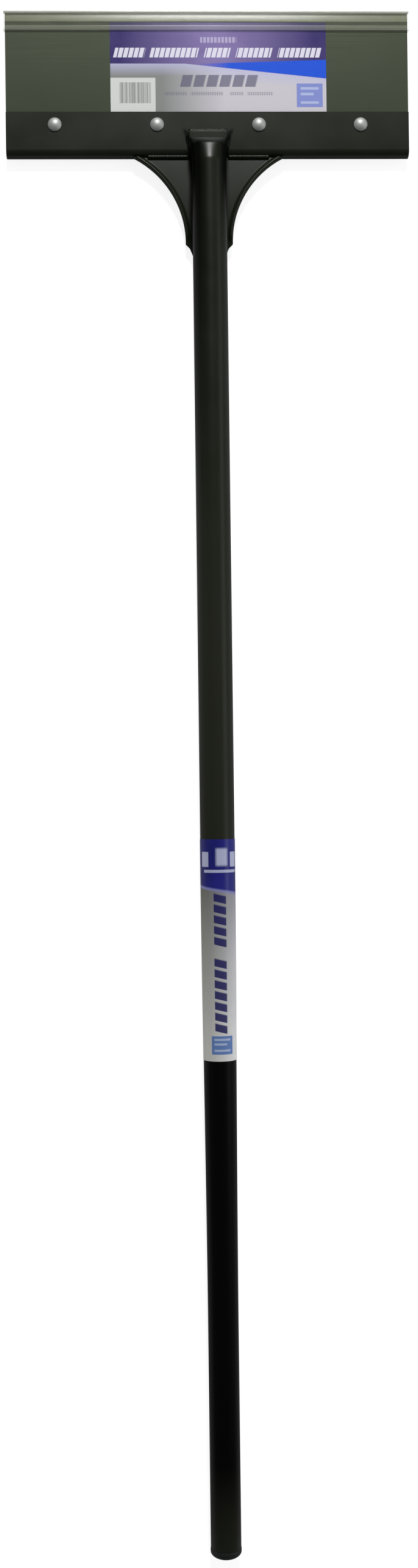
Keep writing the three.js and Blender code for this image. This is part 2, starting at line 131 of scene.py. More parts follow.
# Brace
BRACE_BACK = -3.5
BRACE_FRONT = -1
BRACE_TOP = -0.3
BRACE_WAIST = 20.9
BRACE_WAIST_Y = -75
BRACE_ARC = 84
BRACE_SHOULDER_Y = -76.8
BRACE_STEP = 17.4
BRACE_STEP_Y = -80.2
BRACE_END = 14.6
BRACE_END_Y = -87
STEP_RIM = 0.6  # how wide the rim is past the step, and how high at the shoulder, as shares
SHOULDER_RIM = 0.25
RIM_SINK = 6  # how far above the waist's end it starts to sink
RIM_TOP = 2.2
RIM_PROFILE = (  # the turned-up rim: (inset from the edge, height), from the back to the flat
    (0.5, BRACE_BACK), (0.15, BRACE_BACK + 0.15), (0.0, BRACE_BACK + 0.5), (0.0, 0.9),
    (0.12, 1.5), (0.5, 1.95), (1.1, RIM_TOP), (1.8, RIM_TOP - 0.05), (2.4, 1.85),
    (2.95, 1.3), (3.35, 0.6), (3.7, -0.05), (4.15, -0.55), (4.8, -0.88), (5.6, BRACE_FRONT),
)

# Handle tube
TUBE_RADIUS = 15.1
GRIP_RADIUS = 13.4
TUBE_WALL = 1.8
TUBE_AXIS = 14.4
TUBE_BACK = -0.7
TUBE_TIP_Y = 21
TUBE_END_Y = -1223.6
TUBE_END_RISE = 0.4  # its rounded end, along the tube and across its wall
TUBE_END_INSET = 0.15
TAPER_TOP_Y = -610
TAPER_END_Y = -1040
TIP_HALF = 18.2
TIP_BACK = 3.1
TIP_THICKNESS = 4.4
FLAT_END_Y = 14.5
ROUND_Y = -12
STEP_TOP_Y = 4
STEP_END_Y = -3
RAMP_START = 0.45  # the pressed ramp's straight part, as shares of the way from flat to round
RAMP_END = 0.9
RAMP_SLOPE = 0.264
FLAT_SQUARENESS = 0.36
SQUARE_FADE = 5  # a power: how late the tube gets round
FOLD_PINCH = 0.3
TIP_ROUNDING = 0.7
BORE_TOP_Y = -13

# End cap
CAP_RADIUS = 13.65
CAP_SEAT_Y = -1223.7
CAP_RIM = 3
CAP_DOME = 6.2
CAP_EDGE = ((0, 0.5), (0.12, 0.15), (0.45, 0))  # its rounded edge by the tube, as (inset, drop)
PLUG_RADIUS = 11.4
PLUG_WALL = 2
PLUG_LENGTH = 22
PLUG_TIP_INSET = 0.8
PLUG_TIP_LENGTH = 1

# Stickers
STICKER = 0.15
STICKER_SOFTENING = 0.05
LABEL_LEFT = -85.7
LABEL_RIGHT = 105.3
LABEL_BOTTOM = 40
LABEL_TOP = 119
WRAP_TOP_Y = -603
WRAP_BOTTOM_Y = -796
WRAP_LAP = 0.15  # the wrap's end, glued over its start behind the tube
WRAP_LAP_TURN = (165, 178)
WRAP_END_TURN = 190

# What is printed on the blade's sticker and a highlight painted on it, as (start, end) across the
# blade or (low, high) up it
BAND_LEFT_Y = 82.5
BAND_RIGHT_Y = 69.5
WEDGE_LEFT_Y = 82
WEDGE_RIGHT_Y = 86
SLOPE_START = -20
SLOPE_END = 105
WEDGE_FADE = (-10, 20)
FIELD_FADE = (-40, 15)
FIELD_PALE = 11
# A painted highlight on the violet band: its middle across the blade, then how far from it it fades
# to nothing and where it is full
PAINTED_GLARE_X = 9
PAINTED_GLARE_FADE = (85, 8)
HEADLINE_WORDS = ((-82, -55), (-50, -8), (-2, 20), (26, 57), (63, 101))
HEADLINE_SPAN = (88, 96.5)
MARK_WORDS = ((-6, 26),)
MARK_SPAN = (101, 106)
SIZE_WORDS = ((-25, 45),)
SIZE_SPAN = (62, 72.5)
SMALL_WORDS = ((-38, -18), (-15, 14), (20, 32), (35, 58))
SMALL_SPAN = (54.5, 57.5)
PANEL_RIGHT = -46
PANEL_TOP = 70
BARS_BOX = (-78, -50, 47.5, 66)
LABEL_BADGE = (79, 102, 44, 65)
LABEL_BADGE_LINES = ((82.5, 98.5, 59.5), (82.5, 94, 54.5), (82.5, 98.5, 47))  # left, right, low

# What is printed on the wrap and light painted on it: round the tube from its front, then along it
NAVY_END_Y = -648.6
NAVY_SLOPE = -0.16
# Round the tube, where painted light takes the silver from dark on its left to light on its right
SILVER_PAINTED_LIGHT_SIDES = (-16, 16)
SILVER_RUN = (-650, -785)
NAVY_MARKS = ((-17, -9, -627, -614), (-2, 8, -626, -611, 1.2), (11, 19, -627, -614),
              (-14, 19, -632, -629.5))  # a fifth number is how soft the mark's edge is
WRAP_WORDS = ((-771.5, -706), (-696.3, -650))
WRAP_WORD_SPAN = (-4.5, 6.5)
WRAP_BADGE = (-8, 12, -790, -774)
WRAP_BADGE_LINES = ((-5.5, 9.5, -778), (-5.5, 6, -782), (-5.5, 9.5, -787.5))

# Weld beads
TIP_BEAD = 2.6
TIP_BEAD_RISE = 0.6
TIP_BEAD_INSET = 0.8
TIP_SIDE_START = 3
TIP_SIDE_END = 15.5
TIP_SIDE_OUT = 0.6
TIP_SIDE_LEAN = 2.6
LIP_BEAD = 1.7
LIP_BEAD_Y = 0.2
LIP_BEAD_RISE = 0.7
LIP_BEAD_START = 17
LIP_BEAD_END = 54
SEAM_BEAD = 2.4
SEAM_BEAD_X = 9.6
SEAM_BEAD_RISE = 1.6
SEAM_BEAD_START = -5
SEAM_BEAD_END = -76
RIPPLE_PITCH = 2.6
RIPPLE_DEPTH = 0.09
RIPPLE_BOW = 0.5  # how far the ripples bow forward over the crown
BEAD_STATION = 0.35

# Where the black coat changes and where shade is painted on it, as (start, end) along the tool or
# across it
LIGHTER_RUN = (-150, -420)
# Painted shade that turns the coat near black towards the grip end: where it comes in, then where
# it goes out again by the tube's end
GRIP_SHADE_START = (-600, -800)
GRIP_SHADE_END = (-1225, -1150)
# Painted shade down the tube's sides near the head, reaching further down on its left
SHADE_TUBE_EDGE = (19, 15)
SHADE_TUBE_TOP = (14, 4)
SHADE_LEFT = (0, -9)
SHADE_LEFT_RUN = (-320, -20)
SHADE_RIGHT = (5, 12)
SHADE_RIGHT_RUN = (-100, -20)
# Painted shadow lines that lean out beside the tube's pressed tip
SHADOW_LINE_X = 12.4
SHADOW_LINE_LEAN = 0.36
SHADOW_LINE_WIDTH = (2.8, 0.6)
SHADOW_LINE_SPAN = (-1, 24)

# The camera, in the head's frame
CAMERA_TARGET = (-6.3, -554.9, 0)
CAMERA_DISTANCE = 1500
CAMERA_YAW = -1.77
CAMERA_ROLL = 0.71
CAMERA_LENS = 38.92

# Lights: name, place, aim, size in metres, power in watts
LAMPS = (
    ("key_light", (80, 1600, 1600), (0, -100, 0), (0.4, 0.4), 44),
    ("left_light", (-2400, 0, 1300), (0, -300, 0), (2.4, 1.2), 1),
    ("right_light", (2400, 0, 1300), (0, -300, 0), (2.4, 1.2), 12),
)
FLOOR_HALF_M = 6.0


def head_frame():
    """Where the head's frame lies in the shared one: along the guard's pull, under the blade."""
    axis = Vector(frame["joints"][0]["axis"]).normalized()
    rise, run = axis.z, axis.y
    low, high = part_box("blade")
    y = high.y - (BLADE_TOP * run - BLADE_BACK * rise) * MM
    z = low.z - (BLADE_BOTTOM * rise + BLADE_BACK * run) * MM
    return Matrix.Translation((0, y, z)) @ Matrix.Rotation(math.atan2(rise, run), 4, "X")


HEAD = head_frame()


# ---- Numbers ---------------------------------------------------------------------------------


def mix(a, b, t):
    return a + (b - a) * t


def between(y, start, end):
    """How far y has come from start to end, held at 0 and 1."""
    return min(1.0, max(0.0, (y - start) / (end - start)))


def smooth(t):
    return t * t * (3 - 2 * t)


def steps(start, end, count):
    """Evenly spaced numbers from start to end, count spaces apart."""
    return [mix(start, end, i / count) for i in range(count + 1)]


def oval(centre, width, height, start, end, count):
    """Points round part of an oval, from its two radii and angles in degrees."""
    points = []
    for degrees in steps(start, end, count):
        a = math.radians(degrees)
        points.append((centre[0] + width * math.cos(a), centre[1] + height * math.sin(a)))
    return points


def arc(centre, radius, start, end, count):
    """Points round part of a circle."""
    return oval(centre, radius, radius, start, end, count)


# ---- Meshes ----------------------------------------------------------------------------------


def loft(rings, closed=True, capped=True):
    """Quads between rings of equal length; a ring of one point is a pole. Returns points, faces."""
    points, faces, starts = [], [], []
    for ring in rings:
        starts.append(len(points))
        points.extend(ring)
    for i in range(len(rings) - 1):
        low, high = rings[i], rings[i + 1]
        count = max(len(low), len(high))
        for j in range(count if closed else count - 1):
            k = (j + 1) % count
            if len(low) == 1:
                face = [starts[i], starts[i + 1] + k, starts[i + 1] + j]
            elif len(high) == 1:
                face = [starts[i] + j, starts[i] + k, starts[i + 1]]
            else:
                face = [starts[i] + j, starts[i] + k, starts[i + 1] + k, starts[i + 1] + j]
            faces.append(face)
    if capped and len(rings[0]) > 1:
        faces.append(list(range(starts[0], starts[0] + len(rings[0])))[::-1])
    if capped and len(rings[-1]) > 1:
        faces.append(list(range(starts[-1], starts[-1] + len(rings[-1]))))
    return points, faces


def sweep_x(section, stations):
    """A section of (y, z) points carried across the tool."""
    return loft([[(x, y, z) for y, z in section] for x in stations])


def ring_z(radius, z, sides, x, y):
    """A circle round a bolt's axis."""
    if radius == 0:
        return [(x, y, z)]
    turn = math.tau / sides
    return [(x + radius * math.cos(turn * i), y + radius * math.sin(turn * i), z)
            for i in range(sides)]


def ring_y(radius, y, sides):
    """A circle round the tube's axis."""
    if radius == 0:
        return [(0.0, y, TUBE_AXIS)]
    turn = math.tau / sides
    return [(radius * math.sin(turn * i), y, TUBE_AXIS + radius * math.cos(turn * i))
            for i in range(sides)]


def joined(*parts):
    """Several shapes as one, each (points, faces)."""
    points, faces = [], []
    for more_points, more_faces in parts:
        start = len(points)
        points.extend(more_points)
        faces.extend([[start + i for i in face] for face in more_faces])
    return points, faces


def raw_object(name, shape):
    """An object from points and faces, still in the head's frame and in millimetres."""
    points, faces = shape
    mesh = bpy.data.meshes.new(name)
    mesh.from_pydata([tuple(p) for p in points], [], faces)
    work = bmesh.new()
    work.from_mesh(mesh)
    bmesh.ops.remove_doubles(work, verts=work.verts, dist=1e-5)
    bmesh.ops.recalc_face_normals(work, faces=work.faces)
    work.to_mesh(mesh)
    work.free()
    mesh.shade_smooth()
    obj = bpy.data.objects.new(name, mesh)
    bpy.context.scene.collection.objects.link(obj)
    return obj


def settle(obj):
    """Makes the modifiers' result the object's own mesh."""
    graph = bpy.context.evaluated_depsgraph_get()
    done = bpy.data.meshes.new_from_object(obj.evaluated_get(graph), depsgraph=graph)
    old = obj.data
    obj.modifiers.clear()
    obj.data = done
    done.name = obj.name
    bpy.data.meshes.remove(old)


def carve(obj, shapes):
    """Cuts closed shapes out of an object."""
    for shape in shapes:
        tool = raw_object("cutter", shape)
        cut = obj.modifiers.new("cut", "BOOLEAN")
        cut.operation = "DIFFERENCE"
        cut.solver = "EXACT"
        cut.object = tool
        settle(obj)
        bpy.data.objects.remove(tool)


def soften(obj, width, segments=3, limit=40):
    """Rounds the edges sharper than the limit."""
    bevel = obj.modifiers.new("bevel", "BEVEL")
    bevel.width = width
    bevel.segments = segments
    bevel.limit_method = "ANGLE"
    bevel.angle_limit = math.radians(limit)
    bevel.harden_normals = True
    settle(obj)


def place(obj, material, slot, *nodes, body="scraper", sharp=30):
    """Lays a piece drawn in the head's frame into the shared frame, in place of its CAD nodes."""
    obj.data.transform(HEAD @ Matrix.Scale(MM, 4))
    if sharp:
        obj.data.set_sharp_from_angle(angle=math.radians(sharp))
    obj.data.materials.clear()
    obj.data.materials.append(material)
    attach(obj, body)
    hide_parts(*nodes)


# ---- Materials -------------------------------------------------------------------------------


class Paint:
    """One material's nodes, with a short call for each kind that the finishes share."""

    def __init__(self, name):
        self.material = bpy.data.materials.new(name)
        self.material.use_nodes = True
        self.tree = self.material.node_tree
        self.tree.nodes.clear()
        output = self.tree.nodes.new("ShaderNodeOutputMaterial")
        self.shader = self.tree.nodes.new("ShaderNodeBsdfPrincipled")
        self.tree.links.new(self.shader.outputs[0], output.inputs["Surface"])
        spot = self.tree.nodes.new("ShaderNodeTexCoord")
        turned = self.tree.nodes.new("ShaderNodeMapping")
        back = HEAD.inverted()
        turned.inputs["Location"].default_value = back.translation / MM
        turned.inputs["Rotation"].default_value = back.to_euler()
        turned.inputs["Scale"].default_value = (1 / MM, 1 / MM, 1 / MM)
        self.tree.links.new(spot.outputs["Object"], turned.inputs["Vector"])
        self.mm = turned.outputs[0]  # the point in the head's frame, in millimetres
        split = self.tree.nodes.new("ShaderNodeSeparateXYZ")
        self.tree.links.new(self.mm, split.inputs[0])
        self.x, self.y, self.z = split.outputs

    def put(self, value, socket):
        """Links a node's output to a socket, or sets the socket to a number."""
        if isinstance(value, bpy.types.NodeSocket):
            self.tree.links.new(value, socket)
        else:
            socket.default_value = value

    def set(self, **values):
        """Shader inputs, linked or set to numbers, with spaces written as underscores."""
        for name, value in values.items():
            self.put(value, self.shader.inputs[name.replace("_", " ")])

    def math(self, operation, a, b=0.0, c=0.0):
        """One step of arithmetic on masks or numbers."""
        node = self.tree.nodes.new("ShaderNodeMath")
        node.operation = operation
        for value, socket in zip((a, b, c), node.inputs):
            self.put(value, socket)
        return node.outputs[0]

    def times(self, *values):
        """The product of masks or numbers."""
        product = values[0]
        for value in values[1:]:
            product = self.math("MULTIPLY", product, value)
        return product

    def less(self, a, b):
        """The difference a - b."""
        return self.math("SUBTRACT", a, b)

    def scaled(self, x, y, z, offset=(0, 0, 0)):
        """The point in millimetres, stretched for a noise that is coarser one way."""
        node = self.tree.nodes.new("ShaderNodeVectorMath")
        node.operation = "MULTIPLY_ADD"
        self.tree.links.new(self.mm, node.inputs[0])
        node.inputs[1].default_value = (x, y, z)
        node.inputs[2].default_value = offset
        return node.outputs[0]

    def noise(self, vector, detail=3.0, roughness=0.55):
        """Blender's noise, from 0 to 1."""
        node = self.tree.nodes.new("ShaderNodeTexNoise")
        self.put(vector, node.inputs["Vector"])
        node.inputs["Scale"].default_value = 1
        node.inputs["Detail"].default_value = detail
        node.inputs["Roughness"].default_value = roughness
        return node.outputs["Fac"]

    def ramp(self, value, low, high, start=0.0, end=1.0):
        """Maps low..high to start..end, held at both ends."""
        node = self.tree.nodes.new("ShaderNodeMapRange")
        for item, socket in zip((value, low, high, start, end), node.inputs):
            self.put(item, socket)
        return node.outputs[0]

    def colour(self, fac, a, b):
        """Colour a where the mask is 0, and colour b where it is 1."""
        node = self.tree.nodes.new("ShaderNodeMix")
        node.data_type = "RGBA"
        self.put(fac, node.inputs["Factor"])
        for value, socket in ((a, node.inputs[6]), (b, node.inputs[7])):
            self.put(value if isinstance(value, bpy.types.NodeSocket) else (*value, 1), socket)
        return node.outputs[2]

    def bump(self, height, distance, strength):
        """Distance is the relief in millimetres."""
        node = self.tree.nodes.new("ShaderNodeBump")
        node.inputs["Strength"].default_value = strength
        node.inputs["Distance"].default_value = distance * MM
        self.put(height, node.inputs["Height"])
        return node.outputs[0]

    def band(self, value, low, high, soft):
        """1 between two limits."""
        return self.times(self.ramp(value, low - soft, low + soft),
                          self.ramp(value, high + soft, high - soft))

    def box(self, x, y, x0, x1, y0, y1, soft=0.25):
        """1 inside a rectangle, with an edge as soft as ink."""
        return self.times(self.band(x, x0, x1, soft), self.band(y, y0, y1, soft))

    def any_of(self, *masks):
        """The strongest of several masks at each point."""
        found = masks[0]
        for mask in masks[1:]:
            found = self.math("MAXIMUM", found, mask)
        return found


def painted_corner_shade(p):
    """Painted shade: down the tube's sides by the head, longer on its left, and in lines beside its
    tip.
    """
    side = p.math("ABSOLUTE", p.x)
    # Painted shade down the left and right sides of the tube near the head
    left = p.times(p.ramp(p.y, *SHADE_LEFT_RUN), p.ramp(p.x, *SHADE_LEFT))
    right = p.times(p.ramp(p.y, *SHADE_RIGHT_RUN), p.ramp(p.x, *SHADE_RIGHT))
    tube = p.times(p.ramp(side, *SHADE_TUBE_EDGE), p.ramp(p.y, *SHADE_TUBE_TOP))
    # Painted shadow lines leaning out beside the pressed tip's side welds
    leaning = p.math("MULTIPLY_ADD", p.y, SHADOW_LINE_LEAN, SHADOW_LINE_X)
    painted_shadow_line = p.ramp(p.math("ABSOLUTE", p.less(side, leaning)), *SHADOW_LINE_WIDTH)
    by_tip = p.math("POWER", p.band(p.y, *SHADOW_LINE_SPAN, soft=2.5), 2)
    return p.any_of(p.times(tube, p.any_of(left, right)), p.times(painted_shadow_line, by_tip))


def powder_coat(name, ripple=0.0):
    """Satin black powder coat: orange peel, dust, lighter down the tube, and painted shade in its
    corners and towards the grip.
    """
    p = Paint(name)
    mottle = p.noise(p.scaled(0.02, 0.02, 0.02), 4)
    peel = p.noise(p.scaled(0.9, 0.9, 0.9), 2, 0.5)
    dust = p.noise(p.scaled(3.1, 3.1, 3.1), 2, 0.6)
    painted_shade = painted_corner_shade(p)
    # Where the painted shade towards the grip end lies
    held = p.times(p.ramp(p.y, *GRIP_SHADE_START), p.ramp(p.y, *GRIP_SHADE_END))
    fresh = p.colour(p.ramp(mottle, 0.35, 0.7), (0.0095, 0.0132, 0.0070), (0.0128, 0.0164, 0.0100))
    fresh = p.colour(p.ramp(p.y, *LIGHTER_RUN), fresh, (0.0195, 0.0220, 0.0140))
    coat = p.colour(p.ramp(dust, 0.66, 0.78, 0, 0.35), fresh, (0.035, 0.039, 0.031))
    # Painted shade: the coat turns near black in the shaded corners
    coat = p.colour(p.times(painted_shade, 0.9), coat, (0.0008, 0.0010, 0.0006))
    # Painted shade: the coat is near black towards the grip end
    p.set(Base_Color=p.colour(held, coat, (0.0008, 0.0009, 0.0008)))
    p.set(Roughness=p.ramp(mottle, 0.3, 0.75, 0.31, 0.39))
    p.set(Normal=p.bump(peel, 0.03 + ripple, 0.3))
    # The gloss is lowered where the shade is painted
    p.set(Specular_IOR_Level=p.ramp(painted_shade, 0, 1, 1.0, 0.4))
    p.set(IOR=1.2)
    return p.material


def spring_steel():
    """Grey-green oiled sheet steel with rolling lines, and a brighter ground bevel."""
    p = Paint("spring_steel")
    grain = p.noise(p.scaled(0.012, 1.7, 1.7), 3, 0.6)
    cloud = p.noise(p.scaled(0.016, 0.02, 0.02), 4)
    stone = p.noise(p.scaled(5.0, 0.05, 0.05), 3, 0.6)
    foot = BLADE_TOP - BEVEL_HEIGHT
    off_back = p.ramp(p.z, BLADE_BACK + 0.04, BLADE_BACK + 0.1)
    ground = p.times(p.ramp(p.y, foot - 0.2, foot + 0.2), off_back)
    oiled = p.colour(p.ramp(cloud, 0.3, 0.7), (0.026, 0.037, 0.019), (0.032, 0.042, 0.023))
    lined = p.colour(p.ramp(grain, 0.35, 0.7), oiled, (0.036, 0.046, 0.027))
    cut = p.colour(p.ramp(stone, 0.3, 0.7), (0.170, 0.187, 0.104), (0.213, 0.227, 0.141))
    p.set(Base_Color=p.colour(ground, lined, cut))
    p.set(Metallic=p.ramp(ground, 0, 1, 0.45, 0.15))
    p.set(Roughness=p.math("ADD", p.ramp(grain, 0.3, 0.7, 0.5, 0.6), p.times(ground, 0.1)))
    height = p.math("ADD", grain, p.times(stone, ground))
    p.set(Normal=p.bump(height, 0.008, 0.4))
    p.set(Coat_Weight=p.times(ground, 0.44))
    p.set(Specular_IOR_Level=0.3, Coat_Roughness=0.2)
    return p.material


def bright_zinc(name, tint, roughness, metallic):
    """Bright plating with fine scuffs."""
    p = Paint(name)
    scuff = p.noise(p.scaled(1.6, 1.6, 1.6), 4, 0.65)
    dull = tuple(0.8 * c for c in tint)
    p.set(Base_Color=p.colour(p.ramp(scuff, 0.4, 0.75), tint, dull))
    p.set(Roughness=p.ramp(scuff, 0.3, 0.75, roughness - 0.05, roughness + 0.12))
    p.set(Normal=p.bump(scuff, 0.004, 0.3))
    p.set(Metallic=metallic)
    return p.material


def clear_plastic():
    """Clear extruded PVC, faintly yellow, with die lines, a painted highlight on its beads and a
    painted shadow at its mouth.
    """
    p = Paint("clear_plastic")
    lines = p.noise(p.scaled(0.004, 2.4, 2.4), 3, 0.6)
    haze = p.noise(p.scaled(0.05, 0.3, 0.3), 3)
    clear = p.colour(p.ramp(haze, 0.35, 0.7), (0.14, 0.15, 0.11), (0.20, 0.21, 0.15))
    roof_foot = GUARD_TOP - GUARD_WALL
    roof = p.ramp(p.y, roof_foot - 0.6, roof_foot + 0.1)
    # Painted highlight along the beads, and painted shadow along the mouth's edge
    bead = p.band(p.y, GUARD_MOUTH + 0.7, GUARD_BEAD_TOP - 0.8, 0.3)
    mouth = p.ramp(p.y, GUARD_MOUTH + 0.7, GUARD_MOUTH + 0.3)
    clear = p.colour(bead, clear, (0.60, 0.62, 0.50))
    clear = p.colour(mouth, clear, (0.05, 0.055, 0.04))
    p.set(Base_Color=p.colour(roof, clear, (0.50, 0.52, 0.40)))
    p.set(Roughness=p.ramp(haze, 0.3, 0.7, 0.14, 0.24))
    film = p.ramp(lines, 0.3, 0.7, 0.09, 0.13)
    # The roof is thicker; the painted highlight and shadow are made more opaque so that they show
    thick_roof_and_painted_lines = p.any_of(p.times(bead, 0.02), p.times(mouth, 0.3), p.times(roof, 0.55))
    p.set(Alpha=p.math("ADD", thick_roof_and_painted_lines, film))
    p.set(Normal=p.bump(lines, 0.006, 0.4))
    p.set(Specular_IOR_Level=0.5)
    return p.material


def moulded_plastic():
    """Black plastic with the fine grain of its mould."""
    p = Paint("moulded_plastic")
    grain = p.noise(p.scaled(2.6, 2.6, 2.6), 3, 0.6)
    cloud = p.noise(p.scaled(0.1, 0.1, 0.1), 3)
    black = p.colour(p.ramp(cloud, 0.3, 0.7), (0.011, 0.015, 0.0135), (0.016, 0.021, 0.019))
    p.set(Base_Color=black)
    p.set(Roughness=p.ramp(grain, 0.3, 0.7, 0.42, 0.58))
    p.set(Normal=p.bump(grain, 0.06, 0.5))
    return p.material


def film(p, roughness):
    """The gloss film that both stickers are printed on, with its small creases."""
    crease = p.noise(p.scaled(0.06, 0.09, 0.09), 4, 0.6)
    speck = p.noise(p.scaled(1.4, 1.4, 1.4), 2)
    p.set(Roughness=p.ramp(speck, 0.3, 0.7, roughness, roughness + 0.1))
    p.set(Normal=p.bump(crease, 0.2, 0.2))


def word_row(p, along, across, words, span, pitch, fill=0.7, lean=0.0):
    """A row of plain leaning blocks where words would be: each word is its start and end."""
    low, high = span
    leant = p.math("MULTIPLY_ADD", across, -lean, p.math("ADD", along, lean * (low + high) / 2))
    boxes = p.any_of(*[p.box(leant, across, start, end, low, high) for start, end in words])
    beat = p.math("FRACT", p.math("DIVIDE", leant, pitch))
    comb = p.ramp(beat, fill - 0.06, fill + 0.06, 1, 0)
    return p.times(boxes, comb)


def badge(p, ink, x, y, outline, lines, thickness, soft, field, pale):
    """A plain coloured rectangle with three pale lines on it."""
    ink = p.colour(p.box(x, y, *outline), ink, field)
    strokes = p.any_of(*[p.box(x, y, left, right, low, low + thickness, soft)
                         for left, right, low in lines])
    return p.colour(p.times(strokes, 0.7), ink, pale)


def violet_ink_with_painted_highlight(p):
    """The sticker's top band, with a painted highlight that makes it brighter in its middle."""
    cloud = p.noise(p.scaled(0.03, 0.05, 0.05), 3)
    # Painted highlight: the violet is lighter near the band's middle
    middle = p.ramp(p.math("ABSOLUTE", p.less(p.x, PAINTED_GLARE_X)), *PAINTED_GLARE_FADE)
    violet = p.colour(middle, (0.032, 0.022, 0.140), (0.250, 0.195, 0.440))
    return p.colour(p.ramp(cloud, 0.35, 0.7, 0, 0.3), violet, (0.110, 0.075, 0.240))


def striped_panel(p, ink):
    """A pale panel of uneven upright stripes in the sticker's lower corner."""
    panel = p.box(p.x, p.y, LABEL_LEFT, PANEL_RIGHT, LABEL_BOTTOM, PANEL_TOP)
    ink = p.colour(panel, ink, (0.68, 0.70, 0.68))
    bars = p.box(p.x, p.y, *BARS_BOX)
    stripe = p.ramp(p.noise(p.scaled(0.55, 0, 0, (3, 0, 0)), 1), 0.44, 0.56)
    weight = p.math("MULTIPLY_ADD", stripe, 0.45, 0.25)
    return p.colour(p.times(bars, weight), ink, (0.16, 0.17, 0.16))


def blade_print():
    """The blade's sticker: violet band, blue wedge, silver field, and blocks in place of words."""
    p = Paint("blade_print")
    x, y = p.x, p.y
    violet = violet_ink_with_painted_highlight(p)
    silver = p.colour(p.ramp(x, *FIELD_FADE), (0.25, 0.26, 0.25), (0.62, 0.60, 0.65))
    band_low = p.ramp(x, SLOPE_START, SLOPE_END, BAND_LEFT_Y, BAND_RIGHT_Y)
    band = p.ramp(p.less(y, band_low), -0.3, 0.3)
    wedge_top = p.ramp(x, SLOPE_START, SLOPE_END, WEDGE_LEFT_Y, WEDGE_RIGHT_Y)
    wedge = p.times(band, p.ramp(p.less(wedge_top, y), -0.4, 0.4), p.ramp(x, *WEDGE_FADE))
    pale = p.ramp(p.less(band_low, y), FIELD_PALE, 0, 0, 0.8)
    field = p.colour(pale, silver, (0.52, 0.525, 0.76))
    ink = p.colour(band, field, violet)
    ink = p.colour(wedge, ink, (0.010, 0.090, 0.720))
    headline = word_row(p, x, y, HEADLINE_WORDS, HEADLINE_SPAN, pitch=4.6, fill=0.8, lean=0.25)
    mark = word_row(p, x, y, MARK_WORDS, MARK_SPAN, pitch=3.2)
    size = word_row(p, x, y, SIZE_WORDS, SIZE_SPAN, pitch=11.5, fill=0.8, lean=0.25)
    small = word_row(p, x, y, SMALL_WORDS, SMALL_SPAN, pitch=2.0)
    ink = p.colour(p.times(headline, 0.92), ink, (0.82, 0.80, 0.92))
    ink = p.colour(p.times(mark, 0.5), ink, (0.70, 0.66, 0.85))
    ink = p.colour(p.times(size, 0.75), ink, (0.10, 0.10, 0.18))
    ink = p.colour(p.times(small, 0.45), ink, (0.14, 0.14, 0.22))
    ink = striped_panel(p, ink)
    ink = badge(p, ink, x, y, LABEL_BADGE, LABEL_BADGE_LINES, thickness=2.2, soft=0.4,
                field=(0.24, 0.29, 0.66), pale=(0.55, 0.62, 0.84))
    p.set(Base_Color=ink)
    film(p, 0.16)
    return p.material


def silver_ink_and_painted_light(p, around, cloud):
    """The wrap's field, with painted light that makes it lighter to the right; it is also lighter
    towards the grip.
    """
    # Painted light: the silver is dark on the tube's left side and light on its right
    side = p.ramp(around, *SILVER_PAINTED_LIGHT_SIDES)
    dull = p.colour(side, (0.155, 0.163, 0.125), (0.350, 0.348, 0.405))
    bright = p.colour(side, (0.610, 0.610, 0.565), (0.950, 0.960, 0.970))
    silver = p.colour(p.ramp(p.y, *SILVER_RUN), dull, bright)
    return p.colour(p.ramp(cloud, 0.35, 0.7, 0, 0.2), silver, (0.33, 0.335, 0.34))


def handle_print():
    """The wrap: a navy band over a silver field, with blocks down it in place of words."""
    p = Paint("handle_print")
    y = p.y
    turn = p.math("ARCTAN2", p.x, p.less(p.z, TUBE_AXIS))
    around = p.times(turn, TUBE_RADIUS)
    cloud = p.noise(p.scaled(0.03, 0.02, 0.03), 4)
    silver = silver_ink_and_painted_light(p, around, cloud)
    navy = p.colour(p.ramp(cloud, 0.3, 0.7), (0.007, 0.009, 0.17), (0.017, 0.018, 0.27))
    above_edge = p.less(y, p.math("MULTIPLY_ADD", around, NAVY_SLOPE, NAVY_END_Y))
    band = p.ramp(above_edge, -0.3, 0.3)
    rim = p.times(band, p.ramp(above_edge, 3.0, 1.2))
    ink = p.colour(band, silver, navy)
    ink = p.colour(p.times(rim, 0.5), ink, (0.50, 0.52, 0.86))
    marks = p.any_of(*[p.box(around, y, *mark) for mark in NAVY_MARKS])
    ink = p.colour(p.times(marks, 0.75), ink, (0.62, 0.66, 0.86))
    words = word_row(p, y, around, WRAP_WORDS, WRAP_WORD_SPAN, pitch=9.4, fill=0.72, lean=-0.25)
    ink = p.colour(p.times(words, 0.94), ink, (0.008, 0.008, 0.13))
    ink = badge(p, ink, around, y, WRAP_BADGE, WRAP_BADGE_LINES, thickness=1.8, soft=0.3,
                field=(0.13, 0.24, 0.55), pale=(0.60, 0.68, 0.84))
    p.set(Base_Color=ink)
    film(p, 0.3)
    return p.material


def glow(tree, direct, scattered, mirrored):
    """How bright a surround is: looked at, as light on matte surfaces, and as seen in a gloss."""
    path = tree.nodes.new("ShaderNodeLightPath")
    total = None
    for ray, amount in (("Camera", direct), ("Diffuse", scattered), ("Glossy", mirrored)):
        node = tree.nodes.new("ShaderNodeMath")
        node.operation = "MULTIPLY_ADD"
        tree.links.new(path.outputs[f"Is {ray} Ray"], node.inputs[0])
        node.inputs[1].default_value = amount
        if total is None:
            node.inputs[2].default_value = 0
        else:
            tree.links.new(total, node.inputs[2])
        total = node.outputs[0]
    return total


